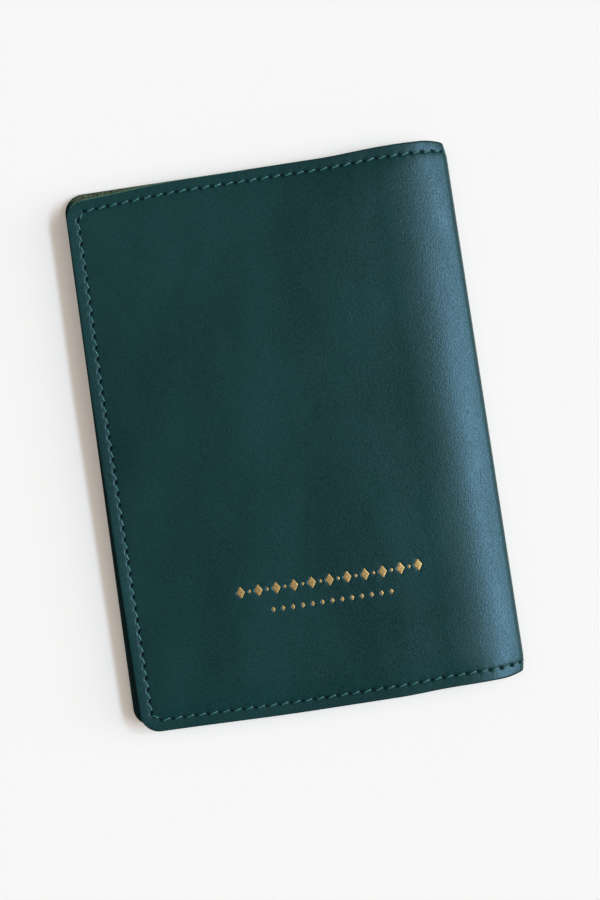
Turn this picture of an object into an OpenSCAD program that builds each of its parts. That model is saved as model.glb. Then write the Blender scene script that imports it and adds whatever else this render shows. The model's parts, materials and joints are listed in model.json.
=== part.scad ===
// Bifold card and document holder, closed and lying on its back cover.
// +Z up through the front cover, +X towards the spine, +Y towards the head of the covers.
// The origin is on the resting plane, under the middle of the closed holder.
// One sheet of leather, lined, runs from the back cover round the spine to the front cover.
// It is cut into the lengths that stay straight between its three fold lines.

/* [Cover] */
// Width of the closed holder, from fore edge to spine
cover_w = 100; // [96:1:130]
// Height of the closed holder
cover_h = 140; // [112:1:180]
// Thickness of the cover leather
cover_t = 1.3; // [1:0.05:1.8]
// Radius of the fore-edge corners
corner_r = 4; // [3.5:0.5:8]

/* [Fold] */
// Inside radius of the spine fold, at the lining
fold_inner_r = 0.3; // [0.2:0.05:0.6]
// Angle by which the front cover slopes down before the spine
shoulder_angle = 20; // [14:1:24]
// Straight stretch between the spine fold and the shoulder bend
shoulder_flat = 0.5; // [0:0.1:1]
// Gap between the leather of two moving bodies at a fold line
fold_gap = 0.1; // [0.05:0.01:0.2]

/* [Lining and flap pockets] */
// Thickness of the lining
lining_t = 0.5; // [0.3:0.05:0.7]
// Thickness of the flap pockets' leather
flap_t = 0.8; // [0.6:0.05:1.2]
// Distance from the flap pockets' free edges to the outside of the spine
flap_clear = 29; // [26:0.5:31]
// Clear space between the two halves when closed
inner_gap = 0.6; // [0.6:0.05:1.5]

/* [Card pockets] */
// Width of a card that stands upright in a pocket
card_w = 54; // [54:0.5:56]
// Height of that card
card_h = 85.6; // [85.5:0.1:88]
// Thickness of the card pockets' leather
pocket_t = 0.5; // [0.4:0.05:0.7]
// Leather outside the card at each side of a pocket
pocket_side = 3; // [2.5:0.25:4]
// Height of a card that stands out of its pocket, and the step from pocket to pocket
pocket_step = 14; // [10:0.5:18]
// Leather below the card at the foot of a pocket
pocket_foot = 2.4; // [2:0.2:4]
// Distance from the cover's foot edge to the lowest pocket
pocket_base = 6; // [5:0.5:10]

/* [Stitching] */
// Distance from the cover's edge to the middle of the seam
seam_margin = 2.85; // [2.5:0.05:3.3]
// Distance from one stitch to the next
stitch_pitch = 3.05; // [2.5:0.05:4]
// Length of one stitch
stitch_len = 2.3; // [1.8:0.1:2.4]
// Width of a stitch
thread_w = 0.5; // [0.4:0.05:0.7]
// Height of a stitch
thread_h = 0.28; // [0.2:0.01:0.3]
// Width of the creased channel that the seam lies in
channel_w = 0.9; // [0.8:0.05:1.2]
// Depth of that channel
channel_d = 0.34; // [0.32:0.01:0.4]
// Distance from a card pocket's edge to its seam
pocket_seam = 1.5; // [1.2:0.1:1.8]

/* [Ornament] */
// Place of the upper row of the gilt ornament, from the middle of the cover to the right
ornament_x = 3.2; // [-10:0.1:10]
// Distance from the cover's foot edge to the middle of the upper row
ornament_rise = 32.6; // [20:0.1:50]
// Drop from the upper row to the lower one
row_drop = 5.4; // [4:0.1:8]
// Lozenges in the upper row
upper_count = 11; // [5:1:12]
// Spacing of the upper lozenges
upper_pitch = 4.6; // [4:0.1:5]
// Height of an upper lozenge
upper_h = 3.3; // [2:0.1:3.6]
// Lozenges in the lower row
lower_count = 13; // [5:2:15]
// Spacing of the lower lozenges
lower_pitch = 2.55; // [2.3:0.05:3]
// Height of a lower lozenge
lower_h = 1.5; // [1:0.1:1.8]
// Depth that the ornament is pressed into the leather
press_d = 0.12; // [0.08:0.01:0.2]
// Thickness of the foil in the pressed ornament
foil_t = 0.06; // [0.03:0.01:0.07]

/* [Hidden] */

LEATHER = [0.11, 0.23, 0.24];
LINING = [0.07, 0.13, 0.14];
THREAD = [0.24, 0.45, 0.43];
GILT = [0.78, 0.6, 0.3];

pocket_count = 3;
half_w = cover_w / 2;
half_h = cover_h / 2;
shell_t = cover_t + lining_t;
half_t = shell_t + flap_t;
stack_t = 2 * half_t + pocket_count * pocket_t + inner_gap;

// The outer surface is followed from the back cover's fore edge, round the spine, to the
// front cover's fore edge: flat, spine fold, straight, shoulder bend, flat.
nose_r = shell_t + fold_inner_r;
nose_turn = 180 - shoulder_angle;
bend_r = (stack_t - nose_r * (1 + cos(shoulder_angle)) - shoulder_flat * sin(shoulder_angle))
    / (1 - cos(shoulder_angle));
nose_x = half_w - nose_r;
bend_x = nose_x + (nose_r - bend_r) * sin(shoulder_angle) - shoulder_flat * cos(shoulder_angle);

function arc_length(r, turn) = r * turn * PI / 180;
run_back = half_w + nose_x;
run_nose = arc_length(nose_r, nose_turn);
run_bend = arc_length(bend_r, shoulder_angle);
run_front = half_w + bend_x;

s_nose = run_back;
s_straight = s_nose + run_nose;
s_bend = s_straight + shoulder_flat;
s_front = s_bend + run_bend;
s_end = s_front + run_front;

// Fold lines: a quarter and three quarters round the spine fold, and halfway round the bend
fold_low = s_nose + run_nose / 4;
fold_high = s_nose + run_nose * 3 / 4;
fold_shoulder = s_bend + run_bend / 2;

// Direction of travel at distance s along the outer surface, in degrees from +X towards +Z
function heading(s) =
    s <= s_nose ? 0 :
    s <= s_straight ? nose_turn * (s - s_nose) / run_nose :
    s <= s_bend ? nose_turn :
    s <= s_front ? nose_turn + shoulder_angle * (s - s_bend) / run_bend : 180;

function on_arc(start, from, r, to) =
    start + r * [sin(to) - sin(from), cos(from) - cos(to)];
function on_line(start, angle, run) = start + run * [cos(angle), sin(angle)];

p_nose = [nose_x, 0];
p_straight = on_arc(p_nose, 0, nose_r, nose_turn);
p_bend = on_line(p_straight, nose_turn, shoulder_flat);
p_front = on_arc(p_bend, nose_turn, bend_r, 180);

// Point [x, z] of the outer surface at distance s
function outer(s) =
    s <= s_nose ? [s - half_w, 0] :
    s <= s_straight ? on_arc(p_nose, 0, nose_r, heading(s)) :
    s <= s_bend ? on_line(p_straight, nose_turn, s - s_straight) :
    s <= s_front ? on_arc(p_bend, nose_turn, bend_r, heading(s)) :
    on_line(p_front, 180, s - s_front);

// Point at distance s and at depth d inside the outer surface
function inside(s, d) = outer(s) + d * [-sin(heading(s)), cos(heading(s))];

nose_steps = 32;
bend_steps = 20;
breaks = concat(
    [for (i = [0 : nose_steps]) s_nose + run_nose * i / nose_steps],
    [for (i = [0 : bend_steps]) s_bend + run_bend * i / bend_steps]);

// Section of a layer between two distances along the surface and two depths
function layer_points(s0, s1, d0, d1) =
    let (run = concat([s0], [for (b = breaks) if (b > s0 + 0.01 && b < s1 - 0.01) b], [s1]))
    concat(
        [for (s = run) inside(s, d0)],
        [for (i = [len(run) - 1 : -1 : 0]) inside(run[i], d1)]);

// A layer as wide as w along Y, with its middle at y
module layer(s0, s1, d0, d1, w, y = 0) {
    translate([0, y + w / 2, 0])
        rotate([90, 0, 0])
            linear_extrude(w)
                polygon(layer_points(s0, s1, d0, d1));
}

corner_steps = 12;
function corner(cx, cy, r, from) =
    [for (i = [0 : corner_steps]) [cx, cy] + r * [cos(from + 90 * i / corner_steps),
        sin(from + 90 * i / corner_steps)]];

// Plan of a cover set in from its edges, round at the fore edge and open past the spine
function plan_points(inset) =
    let (r = max(corner_r - inset, 0.1), x = inset + r - half_w, y = half_h - inset - r)
    concat(
        [[cover_w, y + r]], corner(x, y, r, 90), corner(x, -y, r, 180), [[cover_w, -y - r]]);

module plan(inset) {
    translate([0, 0, -stack_t])
        linear_extrude(3 * stack_t)
            polygon(plan_points(inset));
}

module seam_channel(s0, s1) {
    difference() {
        intersection() {
            layer(s0, s1, -1, channel_d, cover_h);
            plan(seam_margin - channel_w / 2);
        }
        plan(seam_margin + channel_w / 2);
    }
}

// A length of the outer leather, with its seam channel
module cover_leather(s0, s1) {
    color(LEATHER)
        difference() {
            intersection() {
                layer(s0, s1, 0, cover_t, cover_h);
                plan(0);
            }
            seam_channel(s0 - 1, s1 + 1);
        }
}

module lining(s0, s1) {
    color(LINING)
        intersection() {
            layer(s0, s1, cover_t, shell_t, cover_h);
            plan(0);
        }
}

// A full-height flap, sewn down on three sides and open towards the spine
module flap_pocket(s0, s1) {
    color(LEATHER)
        intersection() {
            layer(s0, s1, shell_t, half_t, cover_h);
            plan(0);
        }
}

seam_x = seam_margin - half_w;
seam_y = half_h - seam_margin;
thread_top = channel_d - thread_h;

// Stitches along the head and foot seams between two distances
module seam_rows(s0, s1) {
    count = max(1, round((s1 - s0) / stitch_pitch));
    pitch = (s1 - s0) / count;
    for (y = [-seam_y, seam_y])
        for (i = [0 : count - 1])
            layer(s0 + pitch * (i + 0.5) - stitch_len / 2, s0 + pitch * (i + 0.5) + stitch_len / 2,
                thread_top, channel_d, thread_w, y);
}

// Stitches along a fore edge, and a short one across each corner, with their underside at z
module fore_edge_row(z) {
    run = 2 * (half_h - corner_r);
    count = round(run / stitch_pitch);
    for (i = [0 : count - 1])
        translate([seam_x - thread_w / 2, run * ((i + 0.5) / count - 0.5) - stitch_len / 2, z])
            cube([thread_w, stitch_len, thread_h]);
    corner_cut = (corner_r - seam_margin) * cos(45);
    for (side = [-1, 1])
        translate([corner_r - half_w - corner_cut, side * (half_h - corner_r + corner_cut), z])
            rotate([0, 0, side * 45])
                translate([-stitch_len / 4, -thread_w / 2, 0])
                    cube([stitch_len / 2, thread_w, thread_h]);
}

seam_start = corner_r;

module front_cover() {
    difference() {
        cover_leather(fold_shoulder + fold_gap / 2, s_end);
        translate([0, 0, stack_t - press_d])
            linear_extrude(1)
                ornament_plan();
    }
}
module front_shoulder() {
    cover_leather(fold_high + fold_gap / 2, fold_shoulder - fold_gap / 2);
}
module spine() {
    cover_leather(fold_low + fold_gap / 2, fold_high - fold_gap / 2);
}
module back_cover() {
    cover_leather(0, fold_low - fold_gap / 2);
}

module front_lining() {
    lining(fold_shoulder + fold_gap / 2, s_end);
}
module shoulder_lining() {
    lining(fold_high + fold_gap / 2, fold_shoulder - fold_gap / 2);
}
module spine_lining() {
    lining(fold_low + fold_gap / 2, fold_high - fold_gap / 2);
}
module back_lining() {
    lining(0, fold_low - fold_gap / 2);
}

module front_flap_pocket() {
    flap_pocket(s_end - cover_w + flap_clear, s_end);
}
module back_flap_pocket() {
    flap_pocket(0, cover_w - flap_clear);
}

// Card pockets lie on the inside of the front flap pocket, each a step higher and a layer
// further from the lowest one, which is the nearest to the back half.
pocket_w = card_w + 2 * pocket_side;
pocket_h = card_h + pocket_foot - pocket_step;
pocket_x = (seam_margin + cover_w - flap_clear - pocket_w) / 2 - half_w;
function pocket_y(level) = pocket_base - half_h + pocket_step * level;
function pocket_z(level) = half_t + inner_gap + pocket_t * level;

module card_pocket(level) {
    color(LEATHER)
        translate([pocket_x, pocket_y(level), pocket_z(level)])
            cube([pocket_w, pocket_h, pocket_t]);
}
module card_pocket_lower() {
    card_pocket(0);
}
module card_pocket_middle() {
    card_pocket(1);
}
module card_pocket_upper() {
    card_pocket(2);
}

// Stitches up both sides of a pocket, under its leather at the given level
module pocket_side_rows(level, y0, y1) {
    count = round((y1 - y0) / stitch_pitch);
    pitch = (y1 - y0) / count;
    for (x = [pocket_x + pocket_seam, pocket_x + pocket_w - pocket_seam])
        for (i = [0 : count - 1])
            translate([x - thread_w / 2, y0 + pitch * (i + 0.5) - stitch_len / 2,
                pocket_z(level) - thread_h])
                cube([thread_w, stitch_len, thread_h]);
}

module card_pocket_stitching() {
    color(THREAD) {
        pocket_side_rows(0, pocket_y(0) + pocket_seam + thread_w, pocket_y(0) + pocket_h);
        pocket_side_rows(1, pocket_y(0) + pocket_h, pocket_y(1) + pocket_h);
        pocket_side_rows(2, pocket_y(1) + pocket_h, pocket_y(2) + pocket_h);
        foot_run = pocket_w - 2 * pocket_seam - thread_w;
        foot_count = round(foot_run / stitch_pitch);
        for (i = [0 : foot_count - 1])
            translate([
                pocket_x + pocket_w / 2 + foot_run * ((i + 0.5) / foot_count - 0.5) - stitch_len / 2,
                pocket_y(0) + pocket_seam - thread_w / 2, pocket_z(0) - thread_h])
                cube([stitch_len, thread_w, thread_h]);
    }
}

module front_stitching() {
    color(THREAD) {
        seam_rows(fold_shoulder + fold_gap, s_end - seam_start);
        fore_edge_row(stack_t - channel_d);
    }
}
module shoulder_stitching() {
    color(THREAD)
        seam_rows(fold_high + fold_gap, fold_shoulder - fold_gap);
}
module spine_stitching() {
    color(THREAD)
        seam_rows(fold_low + fold_gap, fold_high - fold_gap);
}
module back_stitching() {
    color(THREAD) {
        seam_rows(seam_start, fold_low - fold_gap);
        fore_edge_row(thread_top);
    }
}

module lozenge(h) {
    polygon([[0, h / 2], [h / 3, 0], [0, -h / 2], [-h / 3, 0]]);
}

// Two rows of lozenges, the upper one with a small diamond between each pair
module ornament_plan() {
    translate([ornament_x, ornament_rise - half_h]) {
        for (i = [0 : upper_count - 1])
            translate([(i - (upper_count - 1) / 2) * upper_pitch, 0])
                lozenge(upper_h);
        for (i = [0 : upper_count - 2])
            translate([(i - (upper_count - 2) / 2) * upper_pitch, 0])
                lozenge(upper_h / 3);
        for (i = [0 : lower_count - 1])
            translate([(i - (lower_count - 1) / 2) * lower_pitch, -row_drop])
                lozenge(lower_h);
    }
}

module gilt_ornament() {
    color(GILT)
        translate([0, 0, stack_t - press_d])
            linear_extrude(foil_t)
                ornament_plan();
}

front_cover();
front_shoulder();
spine();
back_cover();
front_lining();
shoulder_lining();
spine_lining();
back_lining();
front_flap_pocket();
back_flap_pocket();
card_pocket_upper();
card_pocket_middle();
card_pocket_lower();
front_stitching();
shoulder_stitching();
spine_stitching();
back_stitching();
card_pocket_stitching();
gilt_ornament();
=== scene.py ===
"""Looks of a closed leather bifold holder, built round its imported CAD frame.

Every leather sheet is laid out flat first: s runs along the outer surface from the back
cover's fore edge, round the spine, to the front cover's fore edge, y runs along the spine,
and d is the depth inside the outer surface. place() rolls that up into the closed holder.
Lengths here are in millimetres until a mesh is made.
"""
import json
import math

import bpy
import numpy as np
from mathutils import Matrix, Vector
from mathutils.geometry import delaunay_2d_cdt


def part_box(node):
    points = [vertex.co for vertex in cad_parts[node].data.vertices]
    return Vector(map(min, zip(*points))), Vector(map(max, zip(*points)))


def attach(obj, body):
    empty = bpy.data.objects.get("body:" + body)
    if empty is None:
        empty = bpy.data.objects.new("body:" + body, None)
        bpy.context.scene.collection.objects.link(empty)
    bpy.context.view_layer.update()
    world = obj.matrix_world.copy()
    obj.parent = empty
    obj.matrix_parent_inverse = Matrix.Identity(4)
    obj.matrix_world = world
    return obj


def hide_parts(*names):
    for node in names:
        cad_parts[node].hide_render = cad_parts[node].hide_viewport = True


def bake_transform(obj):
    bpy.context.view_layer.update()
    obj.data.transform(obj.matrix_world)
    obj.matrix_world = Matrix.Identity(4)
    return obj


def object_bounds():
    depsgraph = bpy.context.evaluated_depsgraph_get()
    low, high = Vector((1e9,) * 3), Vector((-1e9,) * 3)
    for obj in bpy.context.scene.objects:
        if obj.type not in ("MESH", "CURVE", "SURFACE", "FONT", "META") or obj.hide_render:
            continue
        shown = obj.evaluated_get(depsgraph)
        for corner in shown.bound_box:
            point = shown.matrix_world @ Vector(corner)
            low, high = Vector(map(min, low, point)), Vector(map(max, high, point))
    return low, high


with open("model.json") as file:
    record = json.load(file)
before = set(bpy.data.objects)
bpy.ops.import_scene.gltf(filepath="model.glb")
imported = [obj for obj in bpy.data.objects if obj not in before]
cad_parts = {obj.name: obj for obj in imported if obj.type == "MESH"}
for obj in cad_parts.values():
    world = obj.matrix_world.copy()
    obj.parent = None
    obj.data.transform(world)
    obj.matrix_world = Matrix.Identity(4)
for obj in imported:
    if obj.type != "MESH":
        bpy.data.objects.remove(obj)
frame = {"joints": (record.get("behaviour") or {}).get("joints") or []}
cad_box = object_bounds()

MM = 0.001

# -------- sizes, from the frame


def node_box(node):
    low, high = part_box(node)
    return np.array(low) / MM, np.array(high) / MM


JOINTS = {joint["name"]: joint for joint in frame["joints"]}
HALF_W = cad_box[1].x / MM
HALF_H = cad_box[1].y / MM
STACK_T = cad_box[1].z / MM
COVER_W = 2 * HALF_W
COVER_T = node_box("back_lining")[0][2]
SHELL_T, HALF_T = node_box("back_flap_pocket")[0][2], node_box("back_flap_pocket")[1][2]
FLAP_EDGE = node_box("back_flap_pocket")[1][0] + HALF_W
SHOULDER_ANGLE = math.radians(JOINTS["shoulder_bend"]["range_deg"][1])
NOSE_TURN = math.pi - SHOULDER_ANGLE
NOSE_R = JOINTS["back_fold"]["pos_m"][2] / MM / (1 - math.cos(NOSE_TURN / 4))
SHOULDER_FLAT = 0.5
BEND_R = (
    STACK_T - NOSE_R * (1 + math.cos(SHOULDER_ANGLE)) - SHOULDER_FLAT * math.sin(SHOULDER_ANGLE)
) / (1 - math.cos(SHOULDER_ANGLE))

CORNER_R = 4.8
CAD_THREAD_R = 0.25
SEAM_MARGIN = HALF_H - (node_box("back_stitching")[1][1] - CAD_THREAD_R)
SEAM_CORNER_R = 2.1
SEAM_CORNER = SEAM_MARGIN + SEAM_CORNER_R
SEAM_ARC = SEAM_CORNER_R * math.pi / 2
SEAM_SIDE = 2 * (HALF_H - SEAM_CORNER)
PITCH = 3.05

# Distances s along the sheet: the nose starts, with the lower cut in its middle, then a short
# straight, then the shoulder's bend, with the upper cut and the front seam's start in it
S_NOSE = COVER_W - NOSE_R
S_CUT_LOW = S_NOSE + NOSE_R * NOSE_TURN / 2
S_STRAIGHT = S_NOSE + NOSE_R * NOSE_TURN
S_BEND = S_STRAIGHT + SHOULDER_FLAT
S_CUT_HIGH = S_BEND + 0.9
S_SEAM_HIGH = S_BEND + 1.8
S_FRONT = S_BEND + BEND_R * SHOULDER_ANGLE
NOSE_X = HALF_W - NOSE_R
BEND_X = (
    NOSE_X + (NOSE_R - BEND_R) * math.sin(SHOULDER_ANGLE) - SHOULDER_FLAT * math.cos(SHOULDER_ANGLE)
)
S_END = S_FRONT + HALF_W + BEND_X

# How the soft leather departs from the stiff CAD sheets. The back half slips out past the
# front half; the front half is pulled at its head and foot, and its edges droop.
FORE_SLIP = 2.25
FOOT_SLIP = 1.4
HEAD_SLIP = 0.2
HEAD_PULL = 1.5
SPINE_HEAD_PULL = 0.3
HEAD_LEAN = 0.55
FOOT_PULL = 0.7
FRONT_SHIFT = 0.48
EDGE_DROOP = 0.5
BORDER_RISE = 0.3
SHOULDER_DROP = 0.22
LAYER_FAN = 0.42
SPINE_END_TUCK = 0.5
SPINE_WAIST = 1.05


def smooth(x):
    x = np.clip(x, 0, 1)
    return x * x * (3 - 2 * x)


def heading(s):
    """Direction of the outer surface at distance s, in radians from +X towards +Z."""
    on_nose = NOSE_TURN * np.clip((s - S_NOSE) / (S_STRAIGHT - S_NOSE), 0, 1)
    return on_nose + SHOULDER_ANGLE * np.clip((s - S_BEND) / (S_FRONT - S_BEND), 0, 1)


def outer(s):
    """x and z of the outer surface at distance s."""
    nose = np.clip((s - S_NOSE) / NOSE_R, 0, NOSE_TURN)
    straight = np.clip(s - S_STRAIGHT, 0, SHOULDER_FLAT)
    bend = np.clip((s - S_BEND) / BEND_R, 0, SHOULDER_ANGLE)
    flat = np.maximum(s - S_FRONT, 0)
    x = np.minimum(s, S_NOSE) - HALF_W + NOSE_R * np.sin(nose) + straight * math.cos(NOSE_TURN)
    z = NOSE_R * (1 - np.cos(nose)) + straight * math.sin(NOSE_TURN)
    x = x + BEND_R * (np.sin(NOSE_TURN + bend) - math.sin(NOSE_TURN)) - flat
    z = z + BEND_R * (math.cos(NOSE_TURN) - np.cos(NOSE_TURN + bend))
    return x, z


def front_slackness(s, x, y, d):
    """How far the front half lies off its straight-edged flat shape: in x, in y and in z."""
    on_front = smooth((s - S_STRAIGHT) / 8)
    head, foot = smooth((y + 10) / 60), smooth((10 - y) / 60)
    fore = 1 - smooth((x + HALF_W) / 32)
    move_x = HEAD_LEAN * fore * smooth((y - 15) / 45) * on_front
    head_pull = HEAD_PULL * fore + SPINE_HEAD_PULL * (1 - smooth((x - 20) / 20))
    foot_pull = FOOT_PULL * (1 - smooth((x + HALF_W) / 45))
    shift = FRONT_SHIFT * (1 - smooth((x - 16) / 16))
    move_y = foot_pull * foot - head_pull * head - shift
    fan = smooth((24 - x - HALF_W) / 24 + 0.55) * smooth((y - HALF_H + 6) / 6)
    move_y = (move_y + LAYER_FAN * d * fan) * on_front

    inset = np.minimum(np.maximum(S_END - s, 0), np.maximum(HALF_H - np.abs(y), 0))
    near_edge = 1 - smooth(inset / 10)
    flat_part = smooth((s - S_BEND - 5) / 14)
    border = BORDER_RISE * (1 - np.clip(inset / SEAM_MARGIN, 0, 1))
    by_shoulder = smooth((s - S_BEND - 2) / 14) * (1 - smooth((s - S_FRONT) / 13))
    swell = 0.10 * np.sin(y / 19 + x / 31 + 0.6) + 0.04 * np.sin(x / 14 - y / 37 + 2.0)
    move_z = (border - EDGE_DROOP * near_edge) * flat_part - SHOULDER_DROP * by_shoulder
    return move_x, move_y, move_z + swell * on_front * (1 - near_edge)


def back_slackness(s, x, y):
    """How far the back half lies off its straight-edged flat shape: in x and in y."""
    on_back = 1 - smooth((s - S_NOSE) / (S_CUT_LOW - S_NOSE))
    off_spine = np.clip((HALF_W - x) / COVER_W, 0, 1)
    low = (HALF_H - y) / (2 * HALF_H)
    move_x = -FORE_SLIP * off_spine * low * on_back
    move_y = (FOOT_SLIP * low + HEAD_SLIP * (1 - low)) * off_spine * on_back
    return move_x, move_y


def place(s, y, d):
    """Rolls flat-sheet points up into the closed holder, with the leather's own slackness."""
    s, y, d = (np.asarray(v, float) for v in (s, y, d))
    turn = heading(s)
    x, z = outer(s)
    x = x - d * np.sin(turn)
    z = z + d * np.cos(turn)
    past_fold = 1 - smooth((s - S_BEND) / 7)
    in_fold = smooth((s - S_NOSE) / 3) * past_fold
    by_fold = np.clip((x - HALF_W + 6.5) / 6.5, 0, 1) ** 2
    end = 1 - smooth((HALF_H - np.abs(y)) / 6)
    front_x, front_y, front_z = front_slackness(s, x, y, d)
    back_x, back_y = back_slackness(s, x, y)
    x_new = x + front_x + back_x - SPINE_END_TUCK * in_fold * end ** 3
    y_new = y + front_y + back_y - SPINE_WAIST * by_fold * end * np.sign(y)
    return np.stack(np.broadcast_arrays(x_new, y_new, z + front_z), axis=-1) * MM


# -------- the seam round the cover


class Seam:
    """A seam round one half of the cover: from its cut line along the head, down the fore
    edge and back along the foot. cut and fore are the s of the cut line and the fore edge."""

    def __init__(self, cut, fore):
        self.fore = fore
        self.way = 1 if fore > cut else -1
        self.head = abs(cut - fore) - SEAM_CORNER
        self.length = 2 * (self.head + SEAM_ARC) + SEAM_SIDE
        side = self.head + SEAM_ARC
        foot = side + SEAM_SIDE + SEAM_ARC
        rows = ((0, self.head), (side, side + SEAM_SIDE), (foot, self.length))
        self.holes = np.concatenate([
            np.linspace(a, b, max(2, round((b - a) / PITCH) + 1)) for a, b in rows])

    def locate(self, s, y):
        """Distance along the seam and distance inside it, for points of the sheet."""
        u = np.abs(s - self.fore)
        v = HALF_H - np.abs(y)
        c = SEAM_CORNER
        along_head, inside_head = self.head + c - u, v - SEAM_MARGIN
        along_side, inside_side = self.head + SEAM_ARC + v - c, u - SEAM_MARGIN
        turn = np.arctan2(np.maximum(c - u, 0), np.maximum(c - v, 1e-9))
        in_corner = (u < c) & (v < c)
        by_head = v < u
        along = np.where(by_head, along_head, along_side)
        inside = np.where(by_head, inside_head, inside_side)
        along = np.where(in_corner, self.head + SEAM_CORNER_R * turn, along)
        inside = np.where(in_corner, SEAM_CORNER_R - np.hypot(c - u, c - v), inside)
        return np.where(y >= 0, along, self.length - along), inside

    def point(self, along):
        """The sheet point at a distance along the seam."""
        mirrored = along > self.length / 2
        t = self.length - along if mirrored else along
        if t <= self.head:
            u, v = self.head + SEAM_CORNER - t, SEAM_MARGIN
        elif t <= self.head + SEAM_ARC:
            turn = (t - self.head) / SEAM_CORNER_R
            u = SEAM_CORNER - SEAM_CORNER_R * math.sin(turn)
            v = SEAM_CORNER - SEAM_CORNER_R * math.cos(turn)
        else:
            u, v = SEAM_MARGIN, SEAM_CORNER + t - self.head - SEAM_ARC
        y = HALF_H - v
        return self.fore - self.way * u, -y if mirrored else y


FOLD_HOLES = 3


class FoldSeam:
    """The stretch of both end seams that lies in the fold, one row at the head, one at the foot."""

    def __init__(self, start, end):
        self.start, self.end = start, end
        self.holes = np.linspace(start, end, FOLD_HOLES)

    def locate(self, s, y):
        along = np.where(y >= 0, s, self.start + self.end - s)
        return along, HALF_H - np.abs(y) - SEAM_MARGIN


SLIT_TURN = math.radians(20)
SLIT_REACH, SLIT_SPREAD, SLIT_D = 0.68, 0.23, 0.34
PUCKER_D = 0.05


def slit_share(seam, along, inside):
    """1 in the middle of an awl slit, falling to 0 at its lips. The slits lie askew: each goes
    from the inner end of one stitch to the outer end of the next."""
    near = np.abs(inside) < 2
    gap = np.full(len(along), 9.0)
    offsets = along[near][:, None] - seam.holes
    nearest = np.abs(offsets).argmin(axis=1)
    gap[near] = offsets[np.arange(len(nearest)), nearest]
    lengthwise = gap * math.cos(SLIT_TURN) - inside * math.sin(SLIT_TURN)
    across = gap * math.sin(SLIT_TURN) + inside * math.cos(SLIT_TURN)
    off = (lengthwise / SLIT_REACH) ** 2 + (across / SLIT_SPREAD) ** 2
    return np.exp(-(off ** 1.5)), gap


def seam_relief(seam, s, y):
    """Depth of the leather below its plain surface round the seam."""
    along, inside = seam.locate(s, y)
    slit, gap = slit_share(seam, along, inside)
    channel = 0.08 * np.exp(-((inside / 0.45) ** 2)) + 0.06 * np.exp(-((inside / 1.2) ** 2))
    pucker = PUCKER_D * np.exp(-((gap / 0.8) ** 2) - (inside / 1.3) ** 2)
    return channel + SLIT_D * slit + pucker


# -------- sheets


def stations(low, high, step, bend_step):
    """Values of s from low to high, closer together where the leather bends."""
    bends = (S_NOSE, S_STRAIGHT, S_BEND, S_FRONT)
    marks = sorted([low, high, *(m for m in bends if low < m < high)])
    values = [low]
    for a, b in zip(marks, marks[1:]):
        in_nose = S_NOSE < (a + b) / 2 < S_STRAIGHT
        count = max(1, math.ceil((b - a) / (bend_step if in_nose else step)))
        values += [a + (b - a) * (i + 1) / count for i in range(count)]
    return values


# Insets of the rings of points inside a sheet's edge; a wide ring keeps every so many points
RINGS = (0.07, 0.18, 0.36, 0.75, 1.25, 1.75, 2.1, 2.35, 2.55, 2.7, 2.85, 3.0, 3.15, 3.35, 3.6, 3.95)
WIDE_RINGS = ((4.7, 2), (5.8, 3), (7.4, 5), (9.6, 7))
RING_STEP, RING_BEND_STEP = 0.3, 0.15
GRID, GRID_BEND_STEP = 2.0, 0.18
SHOULDER_GRID = 0.7
STRIP_STEP = 0.2
GRID_INSET = WIDE_RINGS[-1][0] + 0.8 * GRID
GRID_ROWS = round(2 * (HALF_H - GRID_INSET) / GRID) + 1


def ring(cut, fore, inset, every=1):
    """Points of the outline of one half, set in by inset, from the cut line round the fore edge."""
    way = 1 if fore > cut else -1
    r = max(CORNER_R - inset, 0.0)
    c = max(CORNER_R, inset)
    low, high = sorted((cut, fore - way * c))
    run = stations(low, high, RING_STEP, RING_BEND_STEP)[::way]
    run = run[::every] + ([run[-1]] if (len(run) - 1) % every else [])
    head = [(s, HALF_H - inset) for s in run]
    steps = max(1, round(CORNER_R * math.pi / 2 / RING_STEP / every)) if r > 0 else 0
    bend = [
        (fore - way * (c - r * math.sin(a)), HALF_H - c + r * math.cos(a))
        for a in (math.pi / 2 * (i + 1) / steps for i in range(steps))
    ]
    count = round(2 * (HALF_H - c) / RING_STEP / every)
    side = [
        (fore - way * (c - r), (HALF_H - c) * (1 - 2 * (i + 1) / count)) for i in range(count - 1)
    ]
    half = head + bend
    return half + side + [(s, -y) for s, y in half[::-1]]


def half_sheet(cut, fore):
    """Outline, inner points and points along the cut line of one half of a sheet. fore is
    beyond cut in the front half and short of it in the back half."""
    points = []
    for inset, every in (*((inset, 1) for inset in RINGS), *WIDE_RINGS):
        points += ring(cut, fore, inset, every)
    is_front = cut < fore
    low, high = (cut, fore - GRID_INSET) if is_front else (fore + GRID_INSET, cut)
    columns = stations(low, high, GRID, GRID_BEND_STEP)
    if is_front:
        bend = [s for s in np.arange(cut, S_FRONT + 4, SHOULDER_GRID) if s < high]
        columns = sorted(set(columns[:1] + bend + [s for s in columns if s > S_FRONT + 4.5]))
    rows = np.linspace(GRID_INSET - HALF_H, HALF_H - GRID_INSET, GRID_ROWS)
    points += [(s, y) for s in columns for y in rows]
    return ring(cut, fore, 0), points, [(cut, y) for y in rows]


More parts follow.
